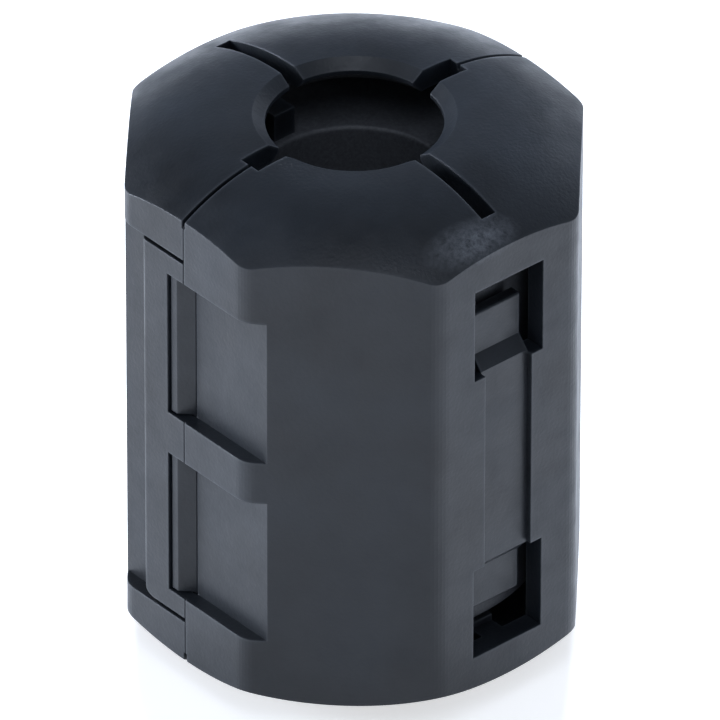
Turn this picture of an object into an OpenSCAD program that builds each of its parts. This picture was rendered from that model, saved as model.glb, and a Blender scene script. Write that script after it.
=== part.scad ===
// Clip-on ferrite bead for a round cable.
// Two moulded half shells, joined by a film hinge, snap shut round two half cores.
// The cable runs along Z. The shells part on the plane Y = 0, latch at -X and hinge at +X.
// The bead stands on its lower rim at Z = 0.

/* [Case] */
// Overall length, from rim to rim
case_length = 39; // [37.5:0.5:42]
// Distance from the latch face to the hinge face
across_latch = 29.4; // [29.2:0.1:30.4]
// Distance between the two window faces
across_windows = 30.6; // [30:0.1:31.6]
// Distance between opposite diagonal faces
across_diagonals = 29.6; // [29.4:0.1:30.4]
// Direction of the diagonal faces, measured from the direction of the hinge face
diagonal_angle = 43; // [42:0.5:48]
// Fillet along the eight upright corners
corner_radius = 1.9; // [0.6:0.1:2.6]
// Wall of the diagonal and window faces
wall = 1.5; // [1.2:0.1:1.7]
// Wall of the latch and hinge faces
latch_wall = 1.7; // [1.6:0.05:2.2]
// Gap between the two shells along the parting plane
seam_gap = 0.08; // [0.04:0.02:0.3]

/* [Domed ends] */
// Radius of the arc that the ends are turned to
dome_radius = 15; // [14:0.5:22]
// Thickness of the petals
end_wall = 1.6; // [1.2:0.1:2]
// Radius of the hole that the petals leave for the cable
hole_radius = 5.85; // [4.5:0.05:6.3]
// Outer radius of the countersink round the hole
rim_radius = 6.7; // [6.5:0.1:7.2]
// Depth of the countersink
rim_depth = 0.6; // [0.3:0.05:0.8]
// Thickness of the lip between the countersink and the relief under it
lip_thickness = 0.3; // [0.2:0.05:0.5]
// Width of the flat land that the bead stands on
land_width = 0.5; // [0.3:0.1:1]
// Width of the slot in the middle of each half
mid_slot_width = 1.2; // [0.8:0.1:2]
// Distance from the end of the middle slot to the window face
mid_slot_margin = 2.1; // [1.9:0.1:5]
// Width of the slot on the parting plane
parting_slot_width = 1.7; // [1:0.1:2.4]
// Width of the seam where it crosses the domes
dome_seam_width = 0.3; // [0.1:0.05:0.5]
// Depth of that wider seam
dome_seam_depth = 0.5; // [0.2:0.1:1]
// Length of the parting slot, from the hole
parting_slot_length = 3.15; // [2:0.05:5]

/* [Half cores] */
// Radius of the bore through the core
core_bore_radius = 6.5; // [6.4:0.1:8]
// Distance from the end of the core to the rim
core_depth = 5.5; // [5:0.1:7]
// Chamfer on the core's outer edges
core_chamfer = 0.4; // [0.2:0.1:0.8]
// Gap between the ground faces of the two half cores
mating_gap = 0.04; // [0.02:0.01:0.1]
// Clearance between a core and the latch and hinge walls
core_clearance = 0.2; // [0.1:0.05:0.3]
// Gap between a core and the ribs and nubs that seat it
seat_gap = 0.04; // [0.02:0.01:0.1]
// Room for the ribs between a core and the diagonal walls
rib_height = 0.5; // [0.4:0.05:1]
// Height of the nub on a spring tongue
nub_height = 0.39; // [0.3:0.01:0.5]
// Width of the ribs that stop the core's ends
stop_width = 1.75; // [1:0.05:2.5]
// Height of those ribs
stop_height = 2; // [1:0.1:2.4]
// Distance from the core's bore to the ribs that stop its ends
stop_setback = 0.5; // [0.3:0.1:3]

/* [Latch] */
// Depth of the pockets in the latch face
pocket_depth = 1.05; // [0.8:0.05:1.1]
// Distance from the end of the strap to the rim
strap_depth = 5.4; // [4.9:0.1:6]
// Reach of the strap past the parting plane
strap_reach = 4.3; // [3.4:0.1:5.5]
// Gap under the strap
strap_gap = 0.1; // [0.05:0.05:0.2]
// Gap at the ends of the strap
strap_end_gap = 0.35; // [0.2:0.05:0.5]
// Round on the outer edge of the strap
strap_edge_radius = 0.5; // [0.2:0.1:0.7]
// Round on the lower free corner of the strap
strap_corner_radius = 1.2; // [0.4:0.1:2]
// Half the height of the middle lug
lug_half_height = 1.6; // [1:0.1:3]
// Height of the strap's two outer lugs
outer_lug_height = 1.5; // [1.1:0.1:4]
// Reach of the catch windows past the parting plane
catch_reach = 1.65; // [1.5:0.05:2]
// Distance from the parting plane to the top of the hook's ramp
hook_rise = 0.92; // [0.5:0.02:1.1]
// Gap between a hook and the strap's bar, and at the hook's ends
hook_gap = 0.15; // [0.1:0.05:0.3]
// How far the hook's crest lies below the latch face
hook_drop = 0.2; // [0.1:0.05:0.4]
// Width and depth of the fine line that the mould leaves across the lugs
witness_line = 0.1; // [0.05:0.01:0.15]

/* [Window faces] */
// Half the width of a window
window_half_width = 2.95; // [2.4:0.05:4]
// Height of a window
window_height = 7; // [5:0.1:8]
// Distance from a window to the rim
window_depth = 4.95; // [4.5:0.05:6]
// Width of the sunk panel and of the spring tongues
panel_width = 4; // [3:0.1:4.6]
// Depth of the sunk panel
panel_depth = 0.45; // [0.2:0.05:0.6]
// Depth of a tongue's outer face
tongue_depth = 1.27; // [1:0.01:1.4]
// Thickness of a tongue
tongue_thickness = 0.8; // [0.6:0.05:0.9]
// Gap between a tongue's tip and the far edge of its window
tongue_tip_gap = 2.8; // [1.5:0.05:4]
// Round on the outer edge of a tongue's tip
tip_radius = 0.2; // [0.1:0.05:0.4]
// Height of the slope from the panel down to a tongue
tongue_slope = 0.95; // [0.6:0.05:1.5]
// Distance from a window's near edge to the start of that slope
slope_setback = 0.1; // [0.05:0.05:0.5]

/* [Film hinge] */
// Thickness of the film
film_thickness = 0.35; // [0.25:0.05:0.45]
// Length of each film web
film_length = 9; // [5:0.5:12]
// Distance from a film web to the rim
film_depth = 7; // [5:0.5:9]
// Gap between the ends of a web and its groove
film_end_gap = 0.25; // [0.1:0.05:0.5]
// Half the width of the groove that a web crosses
groove_half_width = 1; // [0.9:0.05:1.2]
// Depth of the groove
groove_depth = 1.5; // [1.4:0.05:1.55]

/* [Hidden] */
$fn = 96;

half_length = case_length / 2;
latch_x = across_latch / 2;
window_y = across_windows / 2;
diagonal_d = across_diagonals / 2;
// The core fills the room inside the ribs, the nubs and the latch wall
core_radius = min(latch_x - latch_wall - core_clearance,
                  diagonal_d - wall - rib_height,
                  window_y - tongue_depth - tongue_thickness - nub_height - seat_gap);
core_half = half_length - core_depth;
mid_slot_reach = window_y - mid_slot_margin;
parting_slot_reach = hole_radius + parting_slot_length;
strap_half_length = half_length - strap_depth;
catch_top = strap_half_length - outer_lug_height;
window_high = half_length - window_depth;
window_low = window_high - window_height;
corner_steps = 6;
arc_steps = 8;
// More than the whole case, for cutters that run out of it
beyond = case_length + across_windows;
land_radius = rim_radius + land_width;
dome_center_z = half_length - dome_radius;
strap_thickness = pocket_depth - strap_gap;
// Depth to which the strap's root runs into the wall of the front shell
strap_root = 1;
film_half_width = 0.65 * groove_half_width;
film_low = half_length - film_depth - film_length;
tongue_tip = window_high - tongue_tip_gap;
tongue_back = tongue_depth + tongue_thickness;
// Distance from a tongue's tip to the nub that presses on the core
nub_setback = 1.1;
// Distance from the back of a tongue to the core
nub_reach = window_y - tongue_back - core_radius - seat_gap;
rib_width = 1.1;
// Ends of the ribs that stop the core, which are also the floor of the middle slots
stop_z = core_half + seat_gap;
stop_top = stop_z + stop_height;
rib_outer_radius = diagonal_d - wall / 2;
shell_color = "#363a40";
core_color = "#55565a";

// Distance from the axis to face i of the octagon; face 0 looks along +X
function face_distance(i, latch, window, diagonal) =
    i % 2 == 1 ? diagonal : (i % 4 == 0 ? latch : window);

// Direction in which face i of the octagon looks
function face_angle(i) =
    i % 2 == 0 ? 45 * i : 45 * (i - 1) + (i % 4 == 1 ? diagonal_angle : 90 - diagonal_angle);

// Where two lines meet that lie d1 and d2 from the axis, with normals at angles a1 and a2
function meeting_point(a1, a2, d1, d2) =
    [d1 * sin(a2) - d2 * sin(a1), d2 * cos(a1) - d1 * cos(a2)] / sin(a2 - a1);

function arc(center, radius, from, to, steps) =
    [for (k = [0 : steps]) center + radius * [cos(from + (to - from) * k / steps),
                                              sin(from + (to - from) * k / steps)]];

// Eight-sided outline with filleted corners
function octagon(latch, window, diagonal, radius) =
    [for (i = [0 : 7])
        let (a1 = face_angle(i), a2 = face_angle(i + 1),
             d1 = face_distance(i, latch, window, diagonal) - radius,
             d2 = face_distance(i + 1, latch, window, diagonal) - radius)
        each arc(meeting_point(a1, a2, d1, d2), radius, a1, a2, corner_steps)];

// Children in the YZ plane, extruded along X and centred on it
module across_x(width) {
    translate([-width / 2, 0, 0]) rotate([90, 0, 90]) linear_extrude(width) children();
}

module both_ends() {
    children();
    mirror([0, 0, 1]) children();
}

// Lengthwise half section of a domed end: a flat land, then an arc that falls outward
module dome_section(inset) {
    intersection() {
        square([beyond, half_length]);
        union() {
            square([land_radius, half_length - inset]);
            translate([land_radius, dome_center_z]) circle(r = dome_radius - inset);
        }
    }
}

module domed(inset) {
    both_ends() rotate_extrude() dome_section(inset);
}

module prism(points) {
    linear_extrude(beyond, center = true) polygon(points);
}

module case_solid() {
    intersection() {
        prism(octagon(latch_x, window_y, diagonal_d, corner_radius));
        domed(0);
    }
}

module cavity() {
    intersection() {
        prism(octagon(latch_x - latch_wall, window_y - wall, diagonal_d - wall, corner_radius / 2));
        domed(end_wall);
    }
}

// Ribs of the front half: two in the diagonal corners seat the core, and one at each end stops it.
// The end ribs step up outside the core, so that the windows stay clear.
module core_ribs() {
    seat_radius = core_radius + seat_gap;
    stop_outer = window_y - wall / 2;
    stop_inner = core_bore_radius + stop_setback;
    for (i = [5, 7]) rotate(face_angle(i))
        translate([seat_radius, -rib_width / 2, -core_half])
            cube([rib_outer_radius - seat_radius, rib_width, 2 * core_half]);
    both_ends() {
        translate([-stop_width / 2, -core_radius, stop_z])
            cube([stop_width, core_radius - stop_inner, stop_height]);
        translate([-stop_width / 2, -stop_outer, window_high])
            cube([stop_width, stop_outer - stop_inner, stop_top - window_high]);
    }
}

// Cable hole, its countersink, the relief that leaves a thin lip, and the slots that part the petals
module end_openings() {
    lip_z = half_length - rim_depth - lip_thickness;
    relief = end_wall - rim_depth - lip_thickness;
    cylinder(r = hole_radius, h = beyond, center = true);
    both_ends() {
        translate([0, 0, half_length - rim_depth])
            cylinder(r1 = hole_radius, r2 = 2 * rim_radius - hole_radius, h = 2 * rim_depth);
        translate([0, 0, lip_z - 2 * relief])
            cylinder(r1 = hole_radius + 2 * relief, r2 = hole_radius, h = 2 * relief);
        translate([-mid_slot_width / 2, -mid_slot_reach, stop_top])
            cube([mid_slot_width, 2 * mid_slot_reach, beyond]);
        translate([-parting_slot_reach, -parting_slot_width / 2, stop_z])
            cube([2 * parting_slot_reach, parting_slot_width, beyond]);
    }
}

// Opens the seam a little where it crosses the domed ends
module dome_seam() {
    difference() {
        cube([beyond, dome_seam_width, beyond], center = true);
        domed(dome_seam_depth);
    }
}

// Two windows in the front face, and the sunk panel between them
module window_openings() {
    both_ends() translate([-window_half_width, -window_y - wall, window_low])
        cube([2 * window_half_width, 2 * wall + panel_depth, window_height]);
    translate([-panel_width / 2, -window_y - wall, -window_low])
        cube([panel_width, wall + panel_depth, 2 * window_low]);
}

// Spring tongues that stand in the windows and press on the core with a nub
module tongues() {
    root_z = window_low - 2 * tongue_slope;
    slope_z = window_low + slope_setback;
    both_ends() translate([0, -window_y, 0]) across_x(panel_width) union() {
        polygon(concat(
            [[panel_depth, window_low], [panel_depth, slope_z], [tongue_depth, slope_z + tongue_slope]],
            arc([tongue_depth + tip_radius, tongue_tip - tip_radius], tip_radius, 180, 90, arc_steps),
            [[tongue_back, tongue_tip], [tongue_back, window_low], [wall - seat_gap, root_z],
             [(panel_depth + wall) / 2, root_z]]));
        translate([tongue_back, tongue_tip - nub_setback]) {
            translate([nub_reach - nub_height, 0]) circle(r = nub_height);
            translate([-tongue_thickness / 2, -nub_height])
                square([nub_reach - nub_height + tongue_thickness / 2, 2 * nub_height]);
        }
    }
}

// Grooves in the hinge edge, one for each film web to bend in
module hinge_grooves() {
    both_ends() translate([0, 0, film_low - film_end_gap])
        linear_extrude(film_length + 2 * film_end_gap)
            polygon([[latch_x - groove_depth, 0],
                     [latch_x + groove_depth, 2 * groove_half_width],
                     [latch_x + groove_depth, -2 * groove_half_width]]);
}

// What the two shells share, made as the front half
module half_shell() {
    difference() {
        union() {
            difference() {
                case_solid();
                cavity();
            }
            core_ribs();
        }
        translate([-beyond / 2, -seam_gap / 2, -beyond / 2]) cube(beyond);
        dome_seam();
        end_openings();
        window_openings();
        hinge_grooves();
    }
    tongues();
}

// Sinks the latch face from z1 to z2, between y1 and y2
module latch_pocket(y1, y2, z1, z2) {
    translate([-latch_x - pocket_depth, y1, z1]) cube([2 * pocket_depth, y2 - y1, z2 - z1]);
}

// Outer layer of the front shell's wall, which reaches over the rear shell
module latch_strap() {
    inner_x = -latch_x + strap_thickness;
    section = concat(
        [[inner_x, -strap_root], [inner_x, strap_reach]],
        arc([-latch_x + strap_edge_radius, strap_reach - strap_edge_radius],
            strap_edge_radius, 90, 180, corner_steps),
        [[-latch_x, -strap_root]]);
    outline = concat(
        [[-strap_root, strap_half_length], [-strap_root, -strap_half_length]],
        arc([strap_reach - strap_corner_radius, strap_corner_radius - strap_half_length],
            strap_corner_radius, -90, 0, arc_steps),
        [[strap_reach, strap_half_length]]);
    difference() {
        intersection() {
            prism(section);
            across_x(beyond) polygon(outline);
        }
        both_ends() translate([-beyond / 2, -2 * strap_root, lug_half_height])
            cube([beyond, catch_reach + 2 * strap_root, catch_top - lug_half_height]);
        translate([-latch_x, 0, 0]) cube([2 * witness_line, witness_line, beyond], center = true);
    }
}

// Hooks of the rear shell, which stand in the catch windows of the strap
module hooks() {
    floor_x = -latch_x + pocket_depth;
    crest_x = -latch_x + hook_drop;
    catch_y = catch_reach - hook_gap;
    foot_y = seam_gap / 2;
    both_ends() translate([0, 0, lug_half_height + hook_gap])
        linear_extrude(catch_top - lug_half_height - 2 * hook_gap)
            polygon([[floor_x, foot_y], [crest_x, hook_rise], [crest_x, catch_y],
                     [floor_x, catch_y], [floor_x + strap_gap, catch_y], [floor_x + strap_gap, foot_y]]);
}

// Half of the tube of sintered ferrite, on the front side
module half_core() {
    section = [[core_bore_radius, -core_half], [core_radius - core_chamfer, -core_half],
               [core_radius, -core_half + core_chamfer], [core_radius, core_half - core_chamfer],
               [core_radius - core_chamfer, core_half], [core_bore_radius, core_half]];
    difference() {
        rotate_extrude() polygon(section);
        translate([-beyond / 2, -mating_gap / 2, -beyond / 2]) cube(beyond);
    }
}

module standing() {
    translate([0, 0, half_length]) children();
}

module front_shell() {
    color(shell_color) standing() {
        difference() {
            half_shell();
            both_ends() latch_pocket(-window_y, strap_root, lug_half_height, catch_top);
        }
        latch_strap();
    }
}

module rear_shell() {
    pocket_half_length = strap_half_length + strap_end_gap;
    color(shell_color) standing() {
        difference() {
            mirror([0, 1, 0]) half_shell();
            latch_pocket(-strap_root, window_y, -pocket_half_length, pocket_half_length);
        }
        hooks();
    }
}

// Two thin webs of the same moulding, which bend when the case is opened
module hinge_film() {
    color(shell_color) standing() both_ends()
        translate([latch_x - film_thickness, -film_half_width, film_low])
            cube([film_thickness, 2 * film_half_width, film_length]);
}

module front_core() {
    color(core_color) standing() half_core();
}

module rear_core() {
    color(core_color) standing() mirror([0, 1, 0]) half_core();
}

front_shell();
rear_shell();
hinge_film();
front_core();
rear_core();
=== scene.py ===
# %% [markdown]
# # A clip-on ferrite bead
#
# This lesson dresses a small plastic part: a clip-on case of charcoal nylon round two half cores of
# ferrite. The shapes come ready made as a frame of solids, in metres. Blender adds what solids
# lack: the finish of each material, the thin film that bends at the hinge, a camera and light.

# %% Load the frame
import math

import bmesh
import bpy
from mathutils import Matrix, Vector


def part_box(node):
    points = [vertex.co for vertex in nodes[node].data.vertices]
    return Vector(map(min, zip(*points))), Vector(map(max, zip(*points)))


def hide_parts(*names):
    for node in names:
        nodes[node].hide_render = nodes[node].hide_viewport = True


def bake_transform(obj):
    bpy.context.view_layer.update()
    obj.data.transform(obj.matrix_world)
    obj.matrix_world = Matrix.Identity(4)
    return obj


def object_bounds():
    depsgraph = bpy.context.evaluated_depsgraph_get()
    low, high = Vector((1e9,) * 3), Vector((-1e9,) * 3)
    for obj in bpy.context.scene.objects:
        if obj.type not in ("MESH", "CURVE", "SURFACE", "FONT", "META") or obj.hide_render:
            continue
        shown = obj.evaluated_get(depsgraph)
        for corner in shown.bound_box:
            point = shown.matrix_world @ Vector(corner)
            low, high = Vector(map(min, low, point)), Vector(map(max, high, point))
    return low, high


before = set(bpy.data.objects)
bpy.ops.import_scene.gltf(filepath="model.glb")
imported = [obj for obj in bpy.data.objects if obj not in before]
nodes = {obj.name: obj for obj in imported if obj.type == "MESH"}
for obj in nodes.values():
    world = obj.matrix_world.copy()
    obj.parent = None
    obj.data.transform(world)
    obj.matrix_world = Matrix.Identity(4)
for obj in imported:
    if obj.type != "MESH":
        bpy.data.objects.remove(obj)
scene = bpy.context.scene
MM = 0.001


def box_list(low_high):
    return [list(corner) for corner in low_high]


cad_box = box_list(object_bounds())
low, high = (Vector(corner) for corner in cad_box)
middle = (low + high) / 2
print("nodes", sorted(nodes), "size in mm", [round(x / MM, 2) for x in high - low])

# %% [markdown]
# ## Camera
#
# The photograph was taken from far away with a long lens, so upright edges stay parallel. A camera
# can be placed by eye, but here it is worked out: its angles, its distance, how many pixels
# one millimetre takes, and the pixel where the middle of the bead sits. The long lens follows
# from those, and the small sideways offset goes into the camera's place, not into a lens shift.

# %% Work out where the camera looks from
IMAGE_SIZE = 720
AZIMUTH, ELEVATION, ROLL = -41.0, 34.85, 0.08
PIXELS_PER_MM = 15.22
MIDDLE_PIXEL = (354.4, 358.9)


def towards(azimuth, elevation):
    """Unit vector away from the bead, from angles in degrees; azimuth 0 points along -Y."""
    a, e = math.radians(azimuth), math.radians(elevation)
    return Vector((math.sin(a) * math.cos(e), -math.cos(a) * math.cos(e), math.sin(e)))


roll = math.radians(ROLL)
back = towards(AZIMUTH, ELEVATION)
level_right = towards(AZIMUTH + 90, 0)
right = level_right * math.cos(roll) + back.cross(level_right) * math.sin(roll)
up = back.cross(right)
metres_per_pixel = MM / PIXELS_PER_MM
offset_right = (IMAGE_SIZE / 2 - MIDDLE_PIXEL[0]) * metres_per_pixel
offset_up = (MIDDLE_PIXEL[1] - IMAGE_SIZE / 2) * metres_per_pixel
print("offset in mm", round(offset_right / MM, 3), round(offset_up / MM, 3))

# %% Place the camera
DISTANCE = 1.25
SENSOR_WIDTH = 36
FAR_CLIP = 10

camera = bpy.data.objects.new("camera", bpy.data.cameras.new("camera"))
scene.collection.objects.link(camera)
camera.data.sensor_width = SENSOR_WIDTH
camera.data.lens = SENSOR_WIDTH * DISTANCE / (IMAGE_SIZE * metres_per_pixel)
camera.data.clip_end = FAR_CLIP
stand = middle + back * DISTANCE + right * offset_right + up * offset_up
camera.matrix_world = Matrix.Translation(stand) @ Matrix((right, up, back)).transposed().to_4x4()
scene.camera = camera
print("lens in mm", round(camera.data.lens, 1), "camera at", [round(x, 3) for x in stand])

# %% [markdown]
# ## Helpers for materials
#
# Colours are written as the hex values that a screen shows. Blender's shaders work in linear light,
# so one function turns a hex value to linear. A second small function adds a node, sets its
# values and links its inputs, which keeps each material readable as a list of steps. A third
# turns the size of a pattern on the real object, in millimetres, to the scale of a texture.

# %% Colour and node helpers
def linear(hex_colour):
    channels = [int(hex_colour[i:i + 2], 16) / 255 for i in (1, 3, 5)]
    return [c / 12.92 if c <= 0.04045 else ((c + 0.055) / 1.055) ** 2.4 for c in channels] + [1.0]


def add(tree, kind, inputs=(), **settings):
    """Adds a node; each input is a value or another node's output socket."""
    node = tree.nodes.new(kind)
    for name, value in settings.items():
        setattr(node, name, value)
    for socket, value in dict(inputs).items():
        if isinstance(value, bpy.types.NodeSocket):
            tree.links.new(value, node.inputs[socket])
        else:
            node.inputs[socket].default_value = value
    return node


def new_material(name):
    material = bpy.data.materials.new(name)
    material.use_nodes = True
    tree = material.node_tree
    tree.nodes.clear()
    return material, tree


def per_metre(size_mm):
    """Scale of a noise whose features are about this many millimetres across."""
    return 1 / (size_mm * MM)


print("middle grey in linear light", [round(c, 3) for c in linear("#808080")[:3]])

# %% [markdown]
# ## Moulded nylon: colour
#
# The case is nylon (PA66), injection moulded in a steel tool with spark-eroded faces. To the eye that
# is a satin charcoal: the plastic itself is nearly black, and most of what shows is a broad, soft
# image of the room. A painted texture could carry its colour, but noise in the object's own
# coordinates needs no unwrapping and shows no seams. The faint clouds, some millimetres
# across, are where the melt flowed.

# %% Cloud the nylon's colour
CLOUD_MM = 7
NYLON_TONES = ((0.3, "#090d12"), (0.7, "#1a1f25"))

nylon, tree = new_material("moulded_nylon_pa66")
where = add(tree, "ShaderNodeTexCoord").outputs["Object"]
clouds = add(tree, "ShaderNodeTexNoise", {"Vector": where, "Scale": per_metre(CLOUD_MM), "Detail": 4})
tone = add(tree, "ShaderNodeValToRGB", {"Fac": clouds.outputs["Fac"]})
for stop, (position, hex_colour) in zip(tone.color_ramp.elements, NYLON_TONES):
    stop.position, stop.color = position, linear(hex_colour)
print("nylon runs from", NYLON_TONES[0][1], "to", NYLON_TONES[1][1])

# %% [markdown]
# ## Moulded nylon: wear and a painted edge highlight
#
# Use leaves two marks. Outer edges are paler from wear, and the same paler colour also paints the
# highlight that light draws along them, so it is partly wear and partly a painted highlight. An
# Ambient Occlusion node that looks inside the wall finds them, because there is less material round
# a point near an edge. One patch on the rim of the dome is scuffed: a soft oval that noise breaks up.
# Real scratches are finer than a tenth of a millimetre, so they are drawn coarser, at half a millimetre.

# %% Make the edges paler: wear and a painted highlight
EDGE_REACH_MM = 0.25
EDGE_SAMPLES = 6
# Paler colour for outer edges: partly wear, partly a painted highlight along them
EDGE_WEAR_AND_HIGHLIGHT_TONE = "#44484e"
MOST_EDGE_WEAR_AND_HIGHLIGHT = 0.4

thin = add(tree, "ShaderNodeAmbientOcclusion", {"Distance": EDGE_REACH_MM * MM}, inside=True,
           samples=EDGE_SAMPLES)
# Mask of the outer edges that take the paler colour, wear and painted highlight together
rubbed_and_highlit = add(tree, "ShaderNodeMapRange", {"Value": thin.outputs["AO"], "From Min": 0.95,
                                          "From Max": 0.5, "To Min": 0.0, "To Max": MOST_EDGE_WEAR_AND_HIGHLIGHT})
worn_and_highlit = add(tree, "ShaderNodeMix", {"Factor": rubbed_and_highlit.outputs["Result"], "A": tone.outputs["Color"],
                                   "B": linear(EDGE_WEAR_AND_HIGHLIGHT_TONE)}, data_type="RGBA")
print("edges rubbed within", EDGE_REACH_MM, "mm")

# %% Scuff a patch on the dome
SCUFF_PLACE = Vector((middle.x - 2.3 * MM, low.y + 1.1 * MM, high.z - 1.9 * MM))
SCUFF_RADIUS = 2.4 * MM
SCUFF_TONE = "#7a7e84"
SCRATCH_MM = 0.5
# Under 1 the patch is longer that way, over 1 it is shorter, which keeps it off the upright face
SCUFF_SQUEEZE = (0.6, 1, 2)

from_middle = add(tree, "ShaderNodeVectorMath", {0: where, 1: SCUFF_PLACE}, operation="SUBTRACT")
squeezed = add(tree, "ShaderNodeVectorMath", {0: from_middle.outputs["Vector"], 1: SCUFF_SQUEEZE},
               operation="MULTIPLY")
from_scuff = add(tree, "ShaderNodeVectorMath", {0: squeezed.outputs["Vector"]}, operation="LENGTH")
patch = add(tree, "ShaderNodeMapRange", {"Value": from_scuff.outputs["Value"], "From Min": 0.0,
                                         "From Max": SCUFF_RADIUS, "To Min": 1.0, "To Max": 0.0})
scratches = add(tree, "ShaderNodeTexNoise", {"Vector": where, "Scale": per_metre(SCRATCH_MM),
                                             "Detail": 6, "Roughness": 0.75})
broken = add(tree, "ShaderNodeMapRange", {"Value": scratches.outputs["Fac"], "From Min": 0.3,
                                          "From Max": 0.75, "To Min": 0.0, "To Max": 1.0})
scuffed = add(tree, "ShaderNodeMath", {0: patch.outputs["Result"], 1: broken.outputs["Result"]},
              operation="MULTIPLY")
nylon_colour = add(tree, "ShaderNodeMix", {"Factor": scuffed.outputs["Value"],
                                           "A": worn_and_highlit.outputs["Result"],
                                           "B": linear(SCUFF_TONE)}, data_type="RGBA")
print("scuff at mm", [round(x / MM, 1) for x in SCUFF_PLACE])

# %% [markdown]
# ## Moulded nylon: edges, grain and gloss
#
# A mould leaves its outer edges slightly round. A Bevel node gives that in the light without adding
# faces. It is used on outer edges only, because a rounded inner corner would draw a pale line
# where a moulding is dark. The eroded grain is about a tenth of a millimetre, too fine for this view, so
# it is drawn at a quarter. Nylon's index of refraction is 1.53, and a face like this has a roughness
# of about 0.45. Handling polishes it in patches, so the roughness follows a cloud of its own.

# %% Round the nylon's outer edges
EDGE_ROUND_MM = 0.12

soft_edge = add(tree, "ShaderNodeBevel", {"Radius": EDGE_ROUND_MM * MM}, samples=EDGE_SAMPLES)
outer_edge = add(tree, "ShaderNodeMapRange", {"Value": thin.outputs["AO"], "From Min": 0.98,
                                              "From Max": 0.8, "To Min": 0.0, "To Max": 1.0})
flat = add(tree, "ShaderNodeNewGeometry")
rounded = add(tree, "ShaderNodeMix", {"Factor": outer_edge.outputs["Result"],
                                      "A": flat.outputs["Normal"],
                                      "B": soft_edge.outputs["Normal"]}, data_type="VECTOR")
print("outer edges rounded by", EDGE_ROUND_MM, "mm")

# %% Give the nylon its grain and gloss
GRAIN_MM = 0.25
GRAIN_DEPTH_MM = 0.03
POLISH_MM = 2.5
POLISHED, MATTE = 0.33, 0.53
NYLON_IOR = 1.53

grain = add(tree, "ShaderNodeTexNoise", {"Vector": where, "Scale": per_metre(GRAIN_MM), "Detail": 2})
bump = add(tree, "ShaderNodeBump", {"Height": grain.outputs["Fac"], "Strength": 0.6,
                                    "Distance": GRAIN_DEPTH_MM * MM,
                                    "Normal": rounded.outputs["Result"]})
polish = add(tree, "ShaderNodeTexNoise", {"Vector": where, "Scale": per_metre(POLISH_MM), "Detail": 6,
                                          "Roughness": 0.65})
gloss = add(tree, "ShaderNodeMapRange", {"Value": polish.outputs["Fac"], "From Min": 0.3,
                                         "From Max": 0.7, "To Min": POLISHED, "To Max": MATTE})
satin = add(tree, "ShaderNodeBsdfPrincipled", {"Base Color": nylon_colour.outputs["Result"],
                                               "Roughness": gloss.outputs["Result"],
                                               "IOR": NYLON_IOR, "Normal": bump.outputs["Normal"]})
add(tree, "ShaderNodeOutputMaterial", {"Surface": satin.outputs["BSDF"]})
print("made", nylon.name, "with", len(tree.nodes), "nodes")

# %% [markdown]
# ## Sintered ferrite: the fired skin
#
# Ferrite is a ceramic: iron oxide powder, pressed and fired. To the eye it is a dull, neutral dark grey
# with a fine speckle. The grains are a few hundredths of a millimetre, so they are drawn
# coarser, at 0.2 mm, to show at all. The pressed edges are well rounded, and a Bevel node
# lets the edge of the bore catch the light as a crescent.

# %% Speckle the ferrite
SPECKLE_MM = 0.2
FERRITE_TONES = ((0.35, "#34363a"), (0.7, "#4a4c50"))
PRESSED_ROUND_MM = 0.5

ferrite, tree = new_material("sintered_ferrite")
where = add(tree, "ShaderNodeTexCoord").outputs["Object"]
speckle = add(tree, "ShaderNodeTexNoise", {"Vector": where, "Scale": per_metre(SPECKLE_MM),
                                           "Detail": 4})
tone = add(tree, "ShaderNodeValToRGB", {"Fac": speckle.outputs["Fac"]})
for stop, (position, hex_colour) in zip(tone.color_ramp.elements, FERRITE_TONES):
    stop.position, stop.color = position, linear(hex_colour)
pressed_edge = add(tree, "ShaderNodeBevel", {"Radius": PRESSED_ROUND_MM * MM}, samples=EDGE_SAMPLES)
print("ferrite runs from", FERRITE_TONES[0][1], "to", FERRITE_TONES[1][1])

# %% [markdown]
# ## Sintered ferrite: the ground faces
#
# The two faces that meet are ground flat so that no gap weakens the core. They are smoother than the
# fired skin, with fine lines across. The material finds them by their place: they are all that
# lies on the parting plane. Grinding lines are hundredths of a millimetre apart and are drawn
# coarser. The index of refraction of ferrite is about 2.2, matched down to 1.9 for this dull skin.

# %% Grind the mating faces and finish the ferrite
MATING_REACH = abs(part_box("front_core")[1].y) + 0.01 * MM
LINE_MM = 0.377
# A wave texture of scale 1 repeats over this length
WAVE_LENGTH = 2 * math.pi / 20
FIRED, GROUND = 0.62, 0.35
FERRITE_IOR = 1.9

across = add(tree, "ShaderNodeSeparateXYZ", {"Vector": where})
from_parting = add(tree, "ShaderNodeMath", {0: across.outputs["Y"]}, operation="ABSOLUTE")
ground = add(tree, "ShaderNodeMath", {0: from_parting.outputs["Value"], 1: MATING_REACH},
             operation="LESS_THAN")
gloss = add(tree, "ShaderNodeMapRange", {"Value": ground.outputs["Value"], "To Min": FIRED,
                                         "To Max": GROUND})
lines = add(tree, "ShaderNodeTexWave", {"Vector": where, "Scale": WAVE_LENGTH * per_metre(LINE_MM),
                                        "Distortion": 1.5, "Detail": 3}, bands_direction="X")
ground_lines = add(tree, "ShaderNodeMath", {0: lines.outputs["Fac"], 1: ground.outputs["Value"]},
                   operation="MULTIPLY")
relief = add(tree, "ShaderNodeMath", {0: speckle.outputs["Fac"], 1: ground_lines.outputs["Value"]},
             operation="ADD")
bump = add(tree, "ShaderNodeBump", {"Height": relief.outputs["Value"], "Strength": 0.3,
                                    "Distance": 0.01 * MM, "Normal": pressed_edge.outputs["Normal"]})
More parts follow.
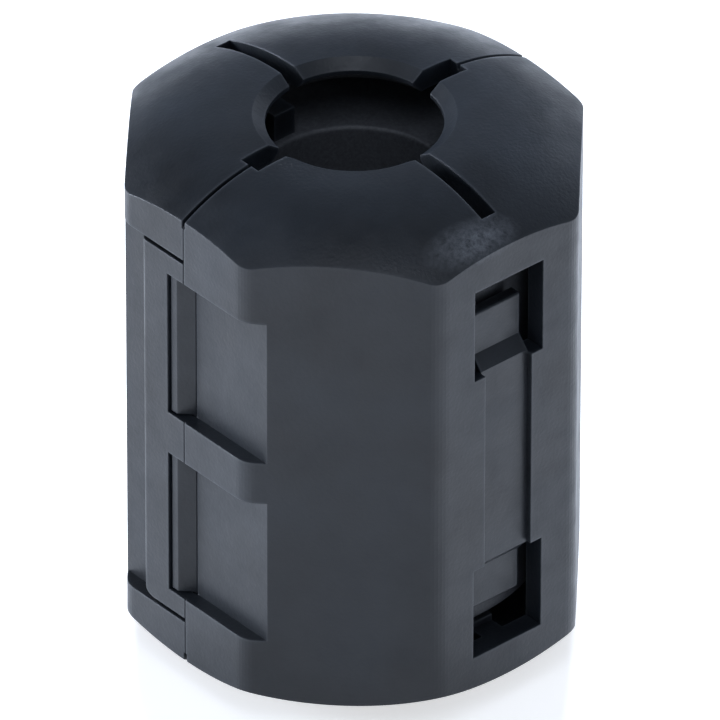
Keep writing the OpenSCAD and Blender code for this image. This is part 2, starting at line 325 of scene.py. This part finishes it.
ceramic = add(tree, "ShaderNodeBsdfPrincipled", {"Base Color": tone.outputs["Color"],
                                                 "Roughness": gloss.outputs["Result"],
                                                 "IOR": FERRITE_IOR, "Normal": bump.outputs["Normal"]})
add(tree, "ShaderNodeOutputMaterial", {"Surface": ceramic.outputs["BSDF"]})
print("made", ferrite.name, "with", len(tree.nodes), "nodes")

# %% [markdown]
# ## Dress the solids
#
# The shells and cores already have their true shapes, so they only swap the plain material they came
# with for the finished one.

# %% Give each solid its material
FINISH = {"front_shell": nylon, "rear_shell": nylon, "front_core": ferrite, "rear_core": ferrite}
for name, material in FINISH.items():
    nodes[name].data.materials.clear()
    nodes[name].data.materials.append(material)
print("dressed", ", ".join(FINISH))

# %% [markdown]
# ## The film hinge
#
# On the real moulding two thin webs join the shells across a groove, and they bend when the case is
# opened. A rigid solid can't bend, so each web is remade as a strip with many short steps across
# the groove. Its place is measured on the solids: the heights of the webs, and the edge of the groove.

# %% Measure the groove
# The strip lies this far under the hinge face, so that the two don't share a plane
SINK = 0.01 * MM

film_low, film_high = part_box("hinge_film")
heights = sorted({round(v.co.z, 6) for v in nodes["hinge_film"].data.vertices})
groove_edge = min(abs(v.co.y) for v in nodes["rear_shell"].data.vertices
                  if v.co.x > high.x - SINK and abs(v.co.y) > film_high.y
                  and film_low.z < v.co.z < film_high.z)
print("webs at mm", [round(z / MM, 2) for z in heights], "groove edge", round(groove_edge / MM, 2))

# %% [markdown]
# A web is built ring by ring, from one edge of the groove to the other. Each ring has two points on the
# outer face and two on the inner one, and faces join a ring to the next. The inner face is
# narrower, because the groove closes with depth.

# %% Make the webs
FILM_STEPS = 24
# Share of the solid web's half width at which the inner face meets the groove's walls
INNER_SHARE = 1.15


def film_web(mesh, z_low, z_high):
    rings = []
    for step in range(FILM_STEPS + 1):
        share = 2 * step / FILM_STEPS - 1
        outer = (film_high.x - SINK, groove_edge * share)
        inner = (film_low.x, film_high.y * INNER_SHARE * share)
        rings.append([mesh.verts.new((x, y, z)) for x, y in (outer, inner) for z in (z_low, z_high)])
    for a, b in zip(rings, rings[1:]):
        for i, j in ((0, 1), (1, 3), (3, 2), (2, 0)):
            mesh.faces.new((a[i], a[j], b[j], b[i]))
    for ring in (rings[0], rings[-1]):
        mesh.faces.new([ring[i] for i in (0, 1, 3, 2)])
    bmesh.ops.recalc_face_normals(mesh, faces=mesh.faces[:])


mesh = bmesh.new()
film_web(mesh, heights[0], heights[1])
film_web(mesh, heights[2], heights[3])
film = bpy.data.objects.new("bending_film", bpy.data.meshes.new("bending_film"))
mesh.to_mesh(film.data)
mesh.free()
film.data.materials.append(nylon)
scene.collection.objects.link(film)
print("film webs have", len(film.data.polygons), "faces")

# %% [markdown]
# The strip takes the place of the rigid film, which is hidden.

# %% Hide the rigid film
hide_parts("hinge_film")
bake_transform(film)

# %% [markdown]
# ## Floor
#
# The bead stands on white paper. The paper is matt, and rays from the camera see it lifted to full
# white, so that the page is clean while the soft shadow at the foot stays. Rays from glossy
# surfaces see it lifted less and a little cool, because the paleness of the upright faces is mostly
# this paper, seen in the satin of the nylon.

# %% Lay the paper
FLOOR_SIZE = 6
MATT_WHITE, PAGE_WHITE, COOL_WHITE = "#e6e6e6", "#ffffff", "#eaf1fc"
WHITE_LIFT = 0.6
MIRROR_LIFT = 0.46

bpy.ops.mesh.primitive_plane_add(size=FLOOR_SIZE, location=(0, 0, low.z))
floor = bpy.context.object
floor.name = "floor"
paper, tree = new_material("white_paper")
path = add(tree, "ShaderNodeLightPath")
mirrored = add(tree, "ShaderNodeMath", {0: path.outputs["Is Glossy Ray"],
                                        1: path.outputs["Is Transmission Ray"]}, operation="MAXIMUM")
in_view = add(tree, "ShaderNodeMath", {0: path.outputs["Is Camera Ray"], 1: WHITE_LIFT},
              operation="MULTIPLY")
in_mirror = add(tree, "ShaderNodeMath", {0: mirrored.outputs["Value"], 1: MIRROR_LIFT},
                operation="MULTIPLY")
matt = add(tree, "ShaderNodeBsdfDiffuse", {"Color": linear(MATT_WHITE)})
white = add(tree, "ShaderNodeEmission", {"Color": linear(PAGE_WHITE),
                                         "Strength": in_view.outputs["Value"]})
cool = add(tree, "ShaderNodeEmission", {"Color": linear(COOL_WHITE),
                                        "Strength": in_mirror.outputs["Value"]})
lift = add(tree, "ShaderNodeAddShader", {0: white.outputs["Emission"], 1: cool.outputs["Emission"]})
both = add(tree, "ShaderNodeAddShader", {0: matt.outputs["BSDF"], 1: lift.outputs["Shader"]})
add(tree, "ShaderNodeOutputMaterial", {"Surface": both.outputs["Shader"]})
floor.data.materials.append(paper)
print("floor at height", low.z, "with", paper.name)

# %% [markdown]
# ## Light
#
# Square area lamps make plain soft studio light. The left box lights the latch face. The back box lights
# the paper at the sides, while the bead shades the paper in front of it, and that is why the front
# face is darker than its neighbours. The right box fills the window face. The back and right
# boxes are hidden from glossy rays, so that they leave no hot spot on the dome. A faint
# rim box gives the right of the dome its sheen, and the top box fills from the camera's side.

# %% Set the soft boxes
LAMP_COLOUR = "#e6efff"
# Azimuth and elevation in degrees, distance and size in metres, power in watts, seen in gloss
SOFT_BOXES = {
    "left_soft_box": (-140, 6, 0.8, 0.35, 10, True),
    "right_soft_box": (75, 6, 0.8, 0.35, 5, False),
    "back_soft_box": (139, 28, 0.9, 0.28, 16, False),
    "top_soft_box": (-41, 62, 0.9, 0.5, 2, True),
    "rim_soft_box": (108, 21, 0.8, 0.35, 0.3, True),
}

for name, (azimuth, elevation, distance, size, power, in_gloss) in SOFT_BOXES.items():
    direction = towards(azimuth, elevation)
    lamp = bpy.data.objects.new(name, bpy.data.lights.new(name, "AREA"))
    lamp.data.size = size
    lamp.data.energy = power
    lamp.data.color = linear(LAMP_COLOUR)[:3]
    lamp.location = middle + direction * distance
    lamp.rotation_euler = direction.to_track_quat("Z", "Y").to_euler()
    lamp.visible_glossy = in_gloss
    scene.collection.objects.link(lamp)

# %% [markdown]
# ## Room
#
# The room is pale and a little cool. It is brightest at the horizon and dimmer above, so that the top of
# the dome stays dark and its far rim is light. A picture of a studio could do this, but a
# gradient by height is enough.

# %% Light the room
ROOM_COLOUR = "#dfeafc"
HORIZON_LIGHT, CEILING_LIGHT = 0.4, 0.26
# Height of the view direction from which the ceiling's level holds
CEILING_START = 0.7

world = bpy.data.worlds.new("studio")
scene.world = world
world.use_nodes = True
tree = world.node_tree
tree.nodes.clear()
view = add(tree, "ShaderNodeTexCoord").outputs["Generated"]
height = add(tree, "ShaderNodeSeparateXYZ", {"Vector": view})
walls = add(tree, "ShaderNodeMapRange", {"Value": height.outputs["Z"], "From Min": 0.0,
                                         "From Max": CEILING_START, "To Min": HORIZON_LIGHT,
                                         "To Max": CEILING_LIGHT})
room = add(tree, "ShaderNodeBackground", {"Color": linear(ROOM_COLOUR),
                                          "Strength": walls.outputs["Result"]})
add(tree, "ShaderNodeOutputWorld", {"Surface": room.outputs["Background"]})
scene.view_settings.view_transform = "Standard"
print("room from", HORIZON_LIGHT, "at the horizon to", CEILING_LIGHT, "above")
